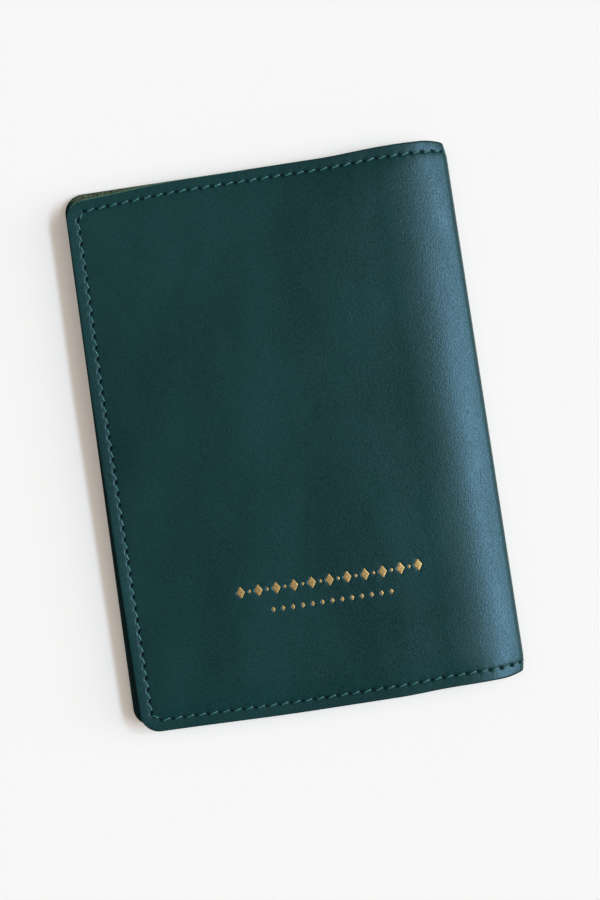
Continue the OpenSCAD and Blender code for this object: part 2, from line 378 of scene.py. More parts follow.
def strip_sheet(low, high):
    """The same for the stretch in the fold. Its outline has all the points of its cut lines."""
    columns = stations(low, high, STRIP_STEP, RING_BEND_STEP)
    insets = [0, *RINGS, *(inset for inset, _ in WIDE_RINGS)]
    rows = list(np.linspace(HALF_H - GRID_INSET, GRID_INSET - HALF_H, GRID_ROWS))
    rows = [HALF_H - i for i in insets] + rows + [i - HALF_H for i in insets[::-1]]
    outline = [(s, HALF_H) for s in columns] + [(high, y) for y in rows[1:-1]]
    outline += [(s, -HALF_H) for s in columns[::-1]] + [(low, y) for y in rows[-2:0:-1]]
    return outline, [(s, y) for s in columns[1:-1] for y in rows[1:-1]], []


def triangulate(outline, points, closing=()):
    """Triangles that fill the outline through all the points. The outline's points come first."""
    seen = {}
    every = []
    for s, y in [*outline, *points, *closing]:
        key = (round(s, 3), round(y, 3))
        if key not in seen:
            seen[key] = len(every)
            every.append((float(s), float(y)))
    border = []
    for s, y in outline:
        index = seen[(round(s, 3), round(y, 3))]
        if not border or border[-1] != index:
            border.append(index)
    result = delaunay_2d_cdt([Vector(p) for p in every], [], [border], 1, 1e-5)
    flat = np.array([(v.x, v.y) for v in result[0]])
    triangles = [tuple(face) for face in result[2]]
    return flat, triangles


def border_loops(triangles):
    """Closed loops of the edges that belong to one triangle only, in their triangles' sense."""
    directed = {(a, b) for t in triangles for a, b in zip(t, t[1:] + t[:1])}
    after = {a: b for a, b in directed if (b, a) not in directed}
    loops = []
    while after:
        start, following = next(iter(after.items()))
        loop = [start]
        del after[start]
        while following != start:
            loop.append(following)
            following = after.pop(following)
        loops.append(loop)
    return loops


WALL_ROWS = 5
# How strongly the slit share paints shade into the leather's colour
SLIT_SHADE = 1.7


def cut_noise(t, k):
    """A ragged, repeatable unevenness of a cut edge, about -1 to 1."""
    return (
        np.sin(t * 2.9 + k * 2.1) * 0.4
        + np.sin(t * 7.7 + k * 5.3 + 1.3) * 0.35
        + np.sin(t * 17.3 + k * 3.7 + 0.4) * 0.25
    )


def linked_mesh(name, points, faces, uv, materials):
    """A smooth-shaded mesh in the scene. uv is each point's place on the flat sheet."""
    mesh = bpy.data.meshes.new(name)
    mesh.from_pydata(points.tolist(), [], faces)
    loops = np.zeros(len(mesh.loops), np.int32)
    mesh.loops.foreach_get("vertex_index", loops)
    layer = mesh.uv_layers.new(name="sheet")
    layer.data.foreach_set("uv", (np.asarray(uv)[loops] * MM).astype(np.float32).ravel())
    for material in materials:
        mesh.materials.append(material)
    mesh.polygons.foreach_set("use_smooth", np.ones(len(mesh.polygons), bool))
    piece = bpy.data.objects.new(name, mesh)
    bpy.context.scene.collection.objects.link(piece)
    return piece


def sheet_object(name, flat, triangles, top, bottom, materials, ragged=0.11, sealed=(), slit=None):
    """A closed sheet of leather. top and bottom are depths at each flat point; the walls are
    cut leather, except where a border point's s is in sealed, where the sheet goes on. slit is
    the share of each point that lies in an awl slit, darkened there with painted shade."""
    s, y = flat[:, 0], flat[:, 1]
    count = len(flat)
    ordered = np.array(max(border_loops(triangles), key=len))
    here = flat[ordered]
    before, after = np.roll(here, 1, axis=0), np.roll(here, -1, axis=0)
    along = after - before
    outward = np.stack([along[:, 1], -along[:, 0]], axis=1)
    outward /= np.maximum(np.linalg.norm(outward, axis=1), 1e-9)[:, None]
    run = np.concatenate([[0], np.cumsum(np.linalg.norm(after - here, axis=1))[:-1]])
    sealed_here = np.zeros(len(ordered), bool)
    for value in sealed:
        sealed_here |= np.abs(here[:, 0] - value) < 0.01

    points = [place(s, y, top), place(s, y, bottom)]
    uvs = [flat, flat]
    for row in range(1, WALL_ROWS):
        share = row / WALL_ROWS
        depth = top[ordered] * (1 - share) + bottom[ordered] * share
        push = np.where(sealed_here, 0, ragged * (cut_noise(run, row) - 0.4))
        moved = here + outward * push[:, None]
        points.append(place(moved[:, 0], moved[:, 1], depth))
        uvs.append(moved)

    faces = triangles + [tuple(i + count for i in t[::-1]) for t in triangles]
    grain_faces = len(faces)
    size = len(ordered)
    rows = [ordered]
    rows += [2 * count + (r - 1) * size + np.arange(size) for r in range(1, WALL_ROWS)]
    rows += [ordered + count]
    wall_uv = []
    for r in range(WALL_ROWS):
        for i in range(size):
            j = (i + 1) % size
            faces.append((rows[r][i], rows[r + 1][i], rows[r + 1][j], rows[r][j]))
            t0, t1 = run[i], run[i] + np.linalg.norm(here[j] - here[i])
            d0, d1 = r / WALL_ROWS, (r + 1) / WALL_ROWS
            wall_uv.append(((t0, d0), (t0, d1), (t1, d1), (t1, d0)))

    faces = [tuple(map(int, face)) for face in faces]
    piece = linked_mesh(name, np.concatenate(points), faces, np.concatenate(uvs), materials)
    mesh = piece.data
    thickness = float(np.mean(bottom - top))
    layer = mesh.uv_layers["sheet"]
    values = np.zeros(2 * len(mesh.loops), np.float32)
    layer.data.foreach_get("uv", values)
    values[6 * grain_faces:] = (np.array(wall_uv, float).reshape(-1, 2) * [MM, thickness * MM]).ravel()
    layer.data.foreach_set("uv", values)
    index = np.zeros(len(mesh.polygons), np.int32)
    index[grain_faces:] = 1
    if sealed_here.any():
        both = sealed_here & np.roll(sealed_here, -1)
        index[grain_faces:][np.tile(both, WALL_ROWS)] = 0
    mesh.polygons.foreach_set("material_index", index)
    mark_arrises(mesh, rows[0], rows[-1])
    # painted shade: each point's share of an awl slit is stored, so the leather's colour is darkened
    # there
    if slit is not None:
        shade = mesh.attributes.new("slit", "FLOAT", "POINT")
        shares = np.zeros(len(mesh.vertices), np.float32)
        shares[:count] = np.minimum(SLIT_SHADE * slit, 1)
        shares[count:2 * count] = shares[:count]
        shade.data.foreach_set("value", shares)
    return piece


def mark_arrises(mesh, *borders):
    """Makes the edges along each border of a sheet sharp."""
    sharp = mesh.attributes.new("sharp_edge", "BOOLEAN", "EDGE")
    edges = np.zeros(2 * len(mesh.edges), np.int32)
    mesh.edges.foreach_get("vertices", edges)
    edges = edges.reshape(-1, 2)
    marks = np.zeros(len(edges), bool)
    for border in borders:
        member = np.zeros(len(mesh.vertices), bool)
        member[border] = True
        marks |= member[edges[:, 0]] & member[edges[:, 1]]
    sharp.data.foreach_set("value", marks)


def inset_from_edge(flat, fore=None):
    """Distance inside the outline. fore is the fore edge's s, if the sheet has one."""
    v = HALF_H - np.abs(flat[:, 1])
    u = np.full(len(flat), 99.0) if fore is None else np.abs(flat[:, 0] - fore)
    r = CORNER_R
    in_corner = (u < r) & (v < r)
    return np.where(in_corner, r - np.hypot(r - u, r - v), np.minimum(u, v))


ARRIS_D, ARRIS_W = 0.16, 0.36


def arris(flat, fore=None):
    """Depth to which the leather rounds away at its cut edge."""
    inset = np.clip(inset_from_edge(flat, fore), 0, ARRIS_W)
    return ARRIS_D * (1 - inset / ARRIS_W) ** 2


def mark_faces(piece, chosen, slot, start=0):
    """Gives the chosen faces, counted from start, the material in a slot."""
    index = np.zeros(len(piece.data.polygons), np.int32)
    piece.data.polygons.foreach_get("material_index", index)
    index[start:start + len(chosen)][chosen] = slot
    piece.data.polygons.foreach_set("material_index", index)


# -------- materials


class Graph:
    """A material's node tree, with short calls to add and join nodes."""

    def __init__(self, name, roughness=0.5, metallic=0.0, specular=0.5):
        self.material = bpy.data.materials.new(name)
        self.material.use_nodes = True
        self.tree = self.material.node_tree
        self.shader = self.tree.nodes["Principled BSDF"]
        self.shader.inputs["Roughness"].default_value = roughness
        self.shader.inputs["Metallic"].default_value = metallic
        self.shader.inputs["Specular IOR Level"].default_value = specular

    def add(self, kind, **settings):
        node = self.tree.nodes.new(kind)
        for key, value in settings.items():
            setattr(node, key, value)
        return node

    def join(self, output, target):
        self.tree.links.new(output, target)

    def sheet_mm(self, stretch=(1.0, 1.0)):
        """The flat sheet's own coordinates, in millimetres."""
        uv = self.add("ShaderNodeUVMap", uv_map="sheet")
        scale = self.add("ShaderNodeMapping")
        scale.inputs["Scale"].default_value = (stretch[0] / MM, stretch[1] / MM, 1 / MM)
        self.join(uv.outputs["UV"], scale.inputs["Vector"])
        return scale.outputs["Vector"]

    def noise(self, vector, scale, detail=2.0, roughness=0.5, distortion=0.0):
        node = self.add("ShaderNodeTexNoise")
        node.inputs["Scale"].default_value = scale
        node.inputs["Detail"].default_value = detail
        node.inputs["Roughness"].default_value = roughness
        node.inputs["Distortion"].default_value = distortion
        self.join(vector, node.inputs["Vector"])
        return node.outputs["Fac"]

    def ramp(self, factor, *stops):
        node = self.add("ShaderNodeValToRGB")
        elements = node.color_ramp.elements
        while len(elements) < len(stops):
            elements.new(0.5)
        for element, (position, colour) in zip(elements, stops):
            element.position = position
            element.color = (*colour, 1)
        self.join(factor, node.inputs["Fac"])
        return node.outputs["Color"]

    def math(self, operation, a, b):
        node = self.add("ShaderNodeMath", operation=operation)
        for socket, value in zip(node.inputs, (a, b)):
            if isinstance(value, (int, float)):
                socket.default_value = value
            else:
                self.join(value, socket)
        return node.outputs["Value"]

    def bump(self, height, distance_mm, before=None):
        node = self.add("ShaderNodeBump")
        node.inputs["Strength"].default_value = 1.0
        node.inputs["Distance"].default_value = distance_mm * MM
        self.join(height, node.inputs["Height"])
        if before is not None:
            self.join(before, node.inputs["Normal"])
        return node.outputs["Normal"]

    def finish(self, colour=None, normal=None, roughness=None):
        for value, socket in ((colour, "Base Color"), (normal, "Normal"), (roughness, "Roughness")):
            if value is not None:
                self.join(value, self.shader.inputs[socket])
        return self.material


def srgb(*levels):
    """Linear colour of sRGB levels from 0 to 255."""
    shares = [n / 255 for n in levels]
    return tuple(v / 12.92 if v <= 0.04045 else ((v + 0.055) / 1.055) ** 2.4 for v in shares)


def grained_leather(name, dark, light, roughness, pebble_mm=0.42, relief=0.032):
    """Leather with pebbled grain: rounded cells, finer pores, and a slow change of colour, with
    painted shade in the grain's hollows and in the awl slits.
    """
    g = Graph(name, roughness=roughness, specular=0.3)
    g.shader.inputs["Specular Tint"].default_value = (0.68, 0.9, 1.0, 1)
    sheet = g.sheet_mm((1.5, 0.7))
    warp = g.add("ShaderNodeVectorMath", operation="ADD")
    wobble = g.add("ShaderNodeTexNoise")
    wobble.inputs["Scale"].default_value = 0.9
    g.join(sheet, wobble.inputs["Vector"])
    g.join(sheet, warp.inputs[0])
    g.join(wobble.outputs["Color"], warp.inputs[1])
    cells = g.add("ShaderNodeTexVoronoi", feature="SMOOTH_F1")
    cells.inputs["Scale"].default_value = 1 / pebble_mm
    cells.inputs["Smoothness"].default_value = 0.3
    g.join(warp.outputs["Vector"], cells.inputs["Vector"])
    pebbles = g.math("MULTIPLY", cells.outputs["Distance"], -1.0)
    pores = g.noise(sheet, 2.2, 3.0, 0.6)
    height = g.math("ADD", pebbles, g.math("MULTIPLY", pores, 0.55))
    patches = g.noise(sheet, 0.11, 3.0, 0.55)
    strength = g.math("ADD", g.math("MULTIPLY", patches, 0.8), 0.45)
    height = g.math("MULTIPLY", height, strength)
    normal = g.bump(height, relief)
    mottle = g.noise(sheet, 0.035, 3.0, 0.5, 0.2)
    tone = g.math("MULTIPLY", mottle, 0.6)
    # painted shade in the grain: the cell and pore terms darken the colour in the grain's hollows and
    # lighten it on its tops; the slow mottle is the leather's own tone
    tone = g.math("ADD", tone, g.math("MULTIPLY", cells.outputs["Distance"], -0.3))
    tone = g.math("ADD", tone, g.math("MULTIPLY", pores, 0.45))
    colour = g.ramp(tone, (0.16, dark), (0.61, light))
    # painted shade in the awl slits: the colour is mixed towards near black, and roughness is raised,
    # where the slit share is high
    slit = g.add("ShaderNodeAttribute", attribute_name="slit")
    shade = g.add("ShaderNodeMix", data_type="RGBA", blend_type="MIX")
    g.join(g.math("MULTIPLY", slit.outputs["Fac"], 0.97), shade.inputs["Factor"])
    g.join(colour, shade.inputs["A"])
    shade.inputs["B"].default_value = (0.0006, 0.0012, 0.0014, 1)
    rough = g.math("ADD", g.math("MULTIPLY", patches, 0.12), roughness - 0.06)
    rough = g.math("ADD", rough, g.math("MULTIPLY", slit.outputs["Fac"], 0.5))
    return g.finish(shade.outputs["Result"], normal, rough)


def cut_leather():
    """A raw cut edge: matted fibres, olive and grey-brown, darker where dye has soaked in."""
    g = Graph("cut_leather", roughness=0.85, specular=0.2)
    sheet = g.sheet_mm((1.0, 2.2))
    clumps = g.noise(sheet, 1.5, 4.0, 0.75, 0.6)
    fibres = g.noise(sheet, 6.0, 4.0, 0.7)
    tone = g.math("ADD", g.math("MULTIPLY", clumps, 0.8), g.math("MULTIPLY", fibres, 0.26))
    colour = g.ramp(
        tone,
        (0.42, srgb(12, 26, 18)),
        (0.49, srgb(44, 62, 42)),
        (0.56, srgb(88, 100, 68)),
        (0.62, srgb(150, 150, 118)),
    )
    normal = g.bump(fibres, 0.12, g.bump(clumps, 0.2))
    return g.finish(colour, normal)


def bared_arris():
    """The thin line where the finish is rubbed off a cut edge."""
    g = Graph("bared_arris", roughness=0.7, specular=0.25)
    wear = g.noise(g.sheet_mm(), 1.4, 3.0, 0.6)
    return g.finish(g.ramp(wear, (0.35, srgb(34, 70, 58)), (0.6, srgb(88, 128, 102))))


def lining_leather():
    g = Graph("lining_leather", roughness=0.72, specular=0.3)
    sheet = g.sheet_mm()
    fine = g.noise(sheet, 3.2, 5.0, 0.65)
    broad = g.noise(sheet, 0.09, 3.0)
    nap = g.noise(sheet, 0.8, 2.0, 0.5, 1.5)
    tone = g.math("ADD", g.math("MULTIPLY", broad, 0.6), g.math("MULTIPLY", nap, 0.4))
    colour = g.ramp(tone, (0.35, srgb(16, 33, 35)), (0.66, srgb(27, 49, 51)))
    return g.finish(colour, g.bump(fine, 0.05))


def thread():
    """Waxed sewing thread: two plies, so slanting ridges along it."""
    g = Graph("thread", roughness=0.33, specular=0.8)
    strand = g.sheet_mm()
    fuzz = g.noise(strand, 9.0, 3.0, 0.6)
    stain = g.noise(strand, 0.5, 2.0)
    tone = g.math("ADD", g.math("MULTIPLY", fuzz, 0.55), g.math("MULTIPLY", stain, 0.45))
    colour = g.ramp(tone, (0.32, srgb(24, 74, 70)), (0.68, srgb(62, 118, 110)))
    return g.finish(colour, g.bump(fuzz, 0.05))


def gilt_foil():
    """Foil pressed into the grain: satin gold, a little broken where the grain is deep."""
    g = Graph("gilt_foil", roughness=0.36, metallic=1.0)
    sheet = g.sheet_mm()
    grain = g.noise(sheet, 2.4, 3.0, 0.6)
    wear = g.noise(sheet, 6.0, 3.0, 0.7)
    tone = g.math("ADD", g.math("MULTIPLY", wear, 0.7), g.math("MULTIPLY", grain, 0.3))
    colour = g.ramp(
        tone, (0.33, srgb(138, 104, 60)), (0.5, srgb(212, 168, 104)), (0.7, srgb(238, 206, 148)))
    rough = g.math("ADD", g.math("MULTIPLY", wear, 0.3), 0.22)
    return g.finish(colour, g.bump(grain, 0.05), rough)


cover_leather = grained_leather("cover_leather", srgb(10, 42, 39), srgb(27, 63, 60), 0.29)
pocket_leather = grained_leather("pocket_leather", srgb(11, 42, 41), srgb(24, 59, 57), 0.48, 0.7, 0.06)
edge_leather = cut_leather()
arris_leather = bared_arris()
inner_lining = lining_leather()
thread_material = thread()
gilt = gilt_foil()

# -------- ornament on the front cover

ORNAMENT_LOW, ORNAMENT_HIGH = node_box("gilt_ornament")
UPPER_COUNT, UPPER_PITCH, UPPER_H = 11, 4.6, 3.3
LOWER_COUNT, LOWER_PITCH, LOWER_H = 13, 2.55, 1.5
ORNAMENT_X = (ORNAMENT_LOW[0] + ORNAMENT_HIGH[0]) / 2
UPPER_Y = ORNAMENT_HIGH[1] - UPPER_H / 2
LOWER_Y = ORNAMENT_LOW[1] + LOWER_H / 2
PRESS_D, PRESS_SLOPE = 0.1, 0.22


def front_s(x):
    """Distance along the sheet of a point of the flat front cover."""
    return S_FRONT + BEND_X - x


def lozenges():
    """Middle and height of each lozenge, on the flat sheet."""
    found = []
    for count, pitch, y, h in (
        (UPPER_COUNT, UPPER_PITCH, UPPER_Y, UPPER_H),
        (UPPER_COUNT - 1, UPPER_PITCH, UPPER_Y, UPPER_H / 3),
        (LOWER_COUNT, LOWER_PITCH, LOWER_Y, LOWER_H),
    ):
        for i in range(count):
            found.append((front_s(ORNAMENT_X + (i - (count - 1) / 2) * pitch), y, h))
    return found


def lozenge_corners(h):
    return ((0, h / 2), (h / 3, 0), (0, -h / 2), (-h / 3, 0))


def ornament_relief(s, y):
    """Depth of the leather pressed in under the foil."""
    depth = np.zeros(len(s))
    for middle, row, h in lozenges():
        reach = np.abs(s - middle) / (h / 3) + np.abs(y - row) / (h / 2)
        edge = PRESS_SLOPE / (h / 3)
        depth = np.maximum(depth, PRESS_D * (1 - smooth((reach - 1) / edge)))
    return depth


def ornament_points():
    """Extra points of the cover's mesh round each lozenge."""
    points = []
    for middle, row, h in lozenges():
        edge = PRESS_SLOPE / (h / 3)
        steps = 3 if h > 1.2 else 2
        corners = lozenge_corners(h)
        for scale in (0.5, 0.9, 1.0, 1 + edge / 2, 1 + edge, 1 + 0.5 / (h / 3)):
            for (a, b), (c, d) in zip(corners, corners[1:] + corners[:1]):
                for share in (i / steps for i in range(steps)):
                    s = middle + scale * (a + (c - a) * share)
                    points.append((s, row + scale * (b + (d - b) * share)))
        points.append((middle, row))
    return points


# Share of the lozenge's outline, and height above the pressed leather
FOIL_LEVELS = ((1.0, -0.02), (1.0, 0.03), (0.9, 0.045), (0.45, 0.05))
POINT_SOFTNESS = 0.12


def foil_piece():
    """Thin foil on the pressed lozenges, a little domed and soft at its points."""
    faces, flat = [], []
    for middle, row, h in lozenges():
        base = len(flat)
        corners = np.array(lozenge_corners(h))
        outline = []
        for k in range(4):
            before, here, after = corners[k - 1], corners[k], corners[(k + 1) % 4]
            for i in range(5):
                t = i / 4
                a = here + (before - here) * POINT_SOFTNESS
                b = here + (after - here) * POINT_SOFTNESS
                outline.append((1 - t) ** 2 * a + 2 * t * (1 - t) * here + t * t * b)
        outline = np.array(outline)
        for scale, rise in FOIL_LEVELS:
            for point in outline * scale:
                flat.append((middle + point[0], row + point[1], PRESS_D - rise))
        size = len(outline)
        for level in range(len(FOIL_LEVELS) - 1):
            for i in range(size):
                j = (i + 1) % size
                a, b = base + level * size, base + (level + 1) * size
                faces.append((a + j, a + i, b + i, b + j))
        faces.append(tuple(base + (len(FOIL_LEVELS) - 1) * size + i for i in range(size))[::-1])
        faces.append(tuple(base + i for i in range(size)))
    flat = np.array(flat)
    return plain_mesh("gilt_lozenges", flat, faces, flat[:, :2], gilt)


def plain_mesh(name, flat, faces, uv, material):
    """A mesh given by flat-sheet points s, y, d."""
    return linked_mesh(name, place(flat[:, 0], flat[:, 1], flat[:, 2]), faces, uv, (material,))


# -------- stitches

THREAD_R = 0.22
THREAD_SIDES = 10
THREAD_RINGS = 15
THREAD_FLATNESS = 0.86
SLANT = -0.33
HOLE_GAP = 0.36
STITCH_D, HOLE_DIP = 0.10, 0.44


def stitch(start, end, level, sign, serial):
    """Flat-sheet points of one stitch from hole to hole. level is the leather's own depth,
    sign is +1 where the outside of the sheet shows and -1 on its inside."""
    a, b = np.array(start), np.array(end)
    run = b - a
    length = np.linalg.norm(run)
    forward = run / length
    across = np.array([-forward[1], forward[0]])
    lean = SLANT * sign
    points, uv = [], []
    for i in range(THREAD_RINGS):
        t = i / (THREAD_RINGS - 1)
        end_dip = abs(2 * t - 1) ** 3.5
        middle = a + forward * (HOLE_GAP + (length - 2 * HOLE_GAP) * t) + across * lean * (2 * t - 1)
        dip = level + sign * (STITCH_D + HOLE_DIP * end_dip)
        taper = 1 - 0.35 * abs(2 * t - 1) ** 6
        for k in range(THREAD_SIDES):
            angle = 2 * math.pi * k / THREAD_SIDES
            ply = 1 + 0.10 * math.cos(2 * (angle - 9.0 * t + serial))
            r = THREAD_R * taper * ply
            point = middle + across * r * math.cos(angle)
            rise = THREAD_FLATNESS * r * math.sin(angle)
            points.append((point[0], point[1], dip - sign * rise))
            uv.append((serial * 7.3 + length * t, k * 0.16))
    return points, uv


def stitches_piece(name, spans, level, sign, sink):
    """All the stitches of one run. spans is a list of hole pairs on the flat sheet, level the
    leather's depth at s, and sink how much deeper the thread lies."""
    flat, uv, faces = [], [], []
    for serial, (start, end) in enumerate(spans):
        base = len(flat)
        depth = level((start[0] + end[0]) / 2) + sign * sink
        points, coordinates = stitch(start, end, depth, sign, serial)
        flat += points
        uv += coordinates
        for i in range(THREAD_RINGS - 1):
            for k in range(THREAD_SIDES):
                a, b = base + i * THREAD_SIDES, base + (i + 1) * THREAD_SIDES
                j = (k + 1) % THREAD_SIDES
                quad = (a + k, a + j, b + j, b + k)
                faces.append(quad if sign > 0 else quad[::-1])
        first = tuple(base + k for k in range(THREAD_SIDES))
        last = tuple(base + (THREAD_RINGS - 1) * THREAD_SIDES + k for k in range(THREAD_SIDES))
        faces.append(first[::-1] if sign > 0 else first)
        faces.append(last if sign > 0 else last[::-1])
    return plain_mesh(name, np.array(flat), faces, uv, thread_material)


def seam_spans(seam):
    return [(seam.point(a), seam.point(b)) for a, b in zip(seam.holes, seam.holes[1:])]


def fold_spans(seam):
    y = HALF_H - SEAM_MARGIN
    pairs = list(zip(seam.holes, seam.holes[1:]))
    return [((a, y), (b, y)) for a, b in pairs] + [((b, -y), (a, -y)) for a, b in pairs]


# -------- cover and lining in three lengths, and flaps

front_seam = Seam(S_SEAM_HIGH, S_END)
back_seam = Seam(S_CUT_LOW, 0.0)
fold_seam = FoldSeam(S_CUT_LOW, S_SEAM_HIGH)
front_sheet = half_sheet(S_CUT_HIGH, S_END)
back_sheet = half_sheet(S_CUT_LOW, 0.0)
fold_sheet = strip_sheet(S_CUT_LOW, S_CUT_HIGH)


def constant(value):
    return lambda s: value


def inner_level(s):
    """Depth of the innermost leather: the flap pocket, or the lining past its free edge."""
    on_flap = s < FLAP_EDGE or s > S_END - FLAP_EDGE
    return HALF_T if on_flap else SHELL_T


def slits_at(seam, flat):
    along, inside = seam.locate(flat[:, 0], flat[:, 1])
    return slit_share(seam, along, inside)[0]


def make_front_cover():
    """The length of cover with the pressed ornament and, by its head corner, a rubbed edge."""
    outline, points, closing = front_sheet
    flat, triangles = triangulate(outline, points + ornament_points(), closing)
    s, y = flat[:, 0], flat[:, 1]
    top = seam_relief(front_seam, s, y) + arris(flat, S_END) + ornament_relief(s, y)
    piece = sheet_object(
        "front_cover_leather", flat, triangles, top, np.full(len(flat), COVER_T),
        (cover_leather, edge_leather, arris_leather), sealed=(S_CUT_HIGH,),
        slit=slits_at(front_seam, flat))
    middles = flat[np.array(triangles)].mean(axis=1)
    by_corner = (S_END - middles[:, 0] < 48) & (middles[:, 1] > HALF_H - 1.5)
    mark_faces(piece, by_corner & (inset_from_edge(middles, S_END) < 0.19), 2)
    return piece


def make_plain_cover(name, sheet, seam, sealed, fore=None):
    flat, triangles = triangulate(*sheet)
    top = seam_relief(seam, flat[:, 0], flat[:, 1]) + arris(flat, fore)
    return sheet_object(
        name, flat, triangles, top, np.full(len(flat), COVER_T), (cover_leather, edge_leather),
        sealed=sealed, slit=slits_at(seam, flat))


def make_lining(name, sheet, seam, sealed):
    flat, triangles = triangulate(*sheet)
    s, y = flat[:, 0], flat[:, 1]
    open_part = ((s > FLAP_EDGE + 1) & (s < S_END - FLAP_EDGE - 1)).astype(float)
    bottom = SHELL_T - 0.7 * seam_relief(seam, s, y) * open_part
    return sheet_object(
        name, flat, triangles, np.full(len(flat), COVER_T), bottom, (inner_lining, edge_leather),
        sealed=sealed)


# How far a pocket's creased line lies from its mouth, and the columns of points round a flap's
CREASE_INSET = 1.4
FLAP_CREASE = (0.1, 0.3, 0.7, 1.0, 1.2, 1.4, 1.6, 1.8, 2.1, 2.6, 4.0, 6.0)


def make_flap(name, free, fore, seam):
    """A flap pocket: sewn along three sides, its free edge creased and lifted a little."""
    outline, points, _ = half_sheet(free, fore)
    way = 1 if fore > free else -1
    rows = np.linspace(-HALF_H + 5, HALF_H - 5, 131)
    points += [(free + way * k, y) for k in FLAP_CREASE for y in rows]
    flat, triangles = triangulate(outline, points, [(free, y) for y in rows])
    s, y = flat[:, 0], flat[:, 1]
    from_free = np.abs(s - free)
    lift = 0.32 * (1 - smooth(from_free / 22)) * smooth((HALF_H - np.abs(y) - 3) / 26)
    groove = 0.16 * np.exp(-(((from_free - CREASE_INSET) / 0.28) ** 2))
    rounding = 0.12 * (1 - np.clip(from_free / 0.3, 0, 1)) ** 2
    top = SHELL_T + lift
    bottom = HALF_T + lift - groove - rounding - 0.8 * seam_relief(seam, s, y) - arris(flat, fore)
    piece = sheet_object(
        name, flat, triangles, top, bottom, (pocket_leather, edge_leather),
        slit=slits_at(seam, flat))
    head_rim = HALF_H - flat[np.array(triangles)].mean(axis=1)[:, 1] < 1.6
    mark_faces(piece, head_rim, 1, len(triangles))
    return piece


# -------- card pockets


def pocket_spans(low_s, high_s, low_y, high_y, foot=False):
    """Hole pairs up both sides of a pocket, and along its foot."""
    spans = []
    count = max(1, round((high_y - low_y) / PITCH))
    steps = np.linspace(low_y, high_y, count + 1)
    for s in (low_s, high_s):
        spans += [((s, a), (s, b)) for a, b in zip(steps, steps[1:])]
    if foot:
        steps = np.linspace(low_s, high_s, round((high_s - low_s) / PITCH) + 1)
        spans += [((a, low_y), (b, low_y)) for a, b in zip(steps, steps[1:])]
    return spans


def spans_relief(spans, s, y):
    """Depth of the leather pulled in round straight seams given by their hole pairs."""
    depth = np.zeros(len(s))
    for (s0, y0), (s1, y1) in spans:
        along = np.clip(
            ((s - s0) * (s1 - s0) + (y - y0) * (y1 - y0)) / ((s1 - s0) ** 2 + (y1 - y0) ** 2), 0, 1)
        off = np.hypot(s - s0 - along * (s1 - s0), y - y0 - along * (y1 - y0))
        hole = np.minimum(np.hypot(s - s0, y - y0), np.hypot(s - s1, y - y1))
        pull = 0.13 * np.exp(-((off / 0.35) ** 2)) + 0.25 * np.exp(-((hole / 0.32) ** 2))
        depth = np.maximum(depth, pull)
    return depth


POCKET_SEAM = 1.5
POCKET_CORNER_R = 2.0
POCKET_RINGS = (0.1, 0.3, 0.8, 1.1, 1.3, 1.5, 1.7, 1.9, 2.3, 3.0)


def off_box(point, low_s, high_s, low_y):
    """Distance outside the box that the rounded foot corners are drawn round."""
    s, y = point
    return math.hypot(max(low_s - s, 0, s - high_s), max(low_y - y, 0))


def make_card_pocket(node, spans):
    """An upright pocket: square at its mouth, rounded at its foot, its mouth creased."""
    low, high = node_box(node)
    s0, s1 = front_s(high[0]), front_s(low[0])
    y0, y1 = low[1], high[1]
    d0, d1 = STACK_T - high[2], STACK_T - low[2]
    r = POCKET_CORNER_R
    corner = [(math.cos(a), math.sin(a)) for a in (math.radians(180 + 15 * i) for i in range(7))]
    left = [(s0 + r + r * c, y0 + r + r * k) for c, k in corner]
    right = [(s1 - r - r * c, y0 + r + r * k) for c, k in corner[::-1]]
    across = np.arange(s0 + r, s1 - r, 0.5)[1:]
    up = np.arange(y0 + r, y1, 0.5)[1:]
    outline = left + [(s, y0) for s in across] + right
    outline += [(s1, y) for y in up] + [(s, y1) for s in np.arange(s1, s0, -0.5)]
    outline += [(s0, y1)] + [(s0, y) for y in up[::-1]]
    points = []
    for inset in POCKET_RINGS:
        near = np.arange(y0 + inset, y1 - 0.05, 0.4)
        points += [(s0 + inset, y) for y in near] + [(s1 - inset, y) for y in near]
        points += [(s, y0 + inset) for s in np.arange(s0 + inset, s1 - inset, 0.4)]
        points += [(s, y1 - inset) for s in np.arange(s0 + inset, s1 - inset, 0.6)]
    points += [(s, y) for s in np.arange(s0 + 4.5, s1 - 4, 2) for y in np.arange(y0 + 4.5, y1 - 4, 2)]
    inside = [p for p in points if off_box(p, s0 + r, s1 - r, y0 + r) < r - 0.03]
    flat, triangles = triangulate(outline, inside)
    s, y = flat[:, 0], flat[:, 1]
    from_mouth = y1 - y
    middle = smooth((np.minimum(s - s0, s1 - s) - 2) / 14)
    lift = 0.12 * (1 - smooth(from_mouth / 12)) * middle
    groove = 0.12 * np.exp(-(((from_mouth - CREASE_INSET) / 0.26) ** 2))
    inset = np.minimum(np.minimum(s - s0, s1 - s), np.minimum(y - y0, y1 - y))
    rounding = 0.1 * (1 - np.clip(inset / 0.3, 0, 1)) ** 2
    bottom = d1 + lift - groove - rounding - spans_relief(spans, s, y)
    bottom = np.maximum(bottom, d0 + 0.12)
    return sheet_object(
        node + "_leather", flat, triangles, d0 + lift * 0.5, bottom,
        (pocket_leather, edge_leather), ragged=0.03)


# -------- put the pieces together


def blend_along(piece, first, second, start, end):
    """Bakes the piece's transform into its mesh; first, second, start and end are not used."""
    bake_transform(piece)


def fold_reach(layer):
    """Where a layer of the fold starts and ends to turn with the first fold joint. layer is the
    depth of its middle and of its innermost surface, which has turned fully at the cut."""
    middle, deepest = layer
    lean = NOSE_TURN / 4
    way = np.array([math.cos(lean), math.sin(lean)])
    start = np.array([NOSE_X, middle])
    r = NOSE_R - deepest
    cut = np.array([NOSE_X + r * math.sin(2 * lean), NOSE_R - r * math.cos(2 * lean)])
    return start, start + way * np.dot(cut - start, way)


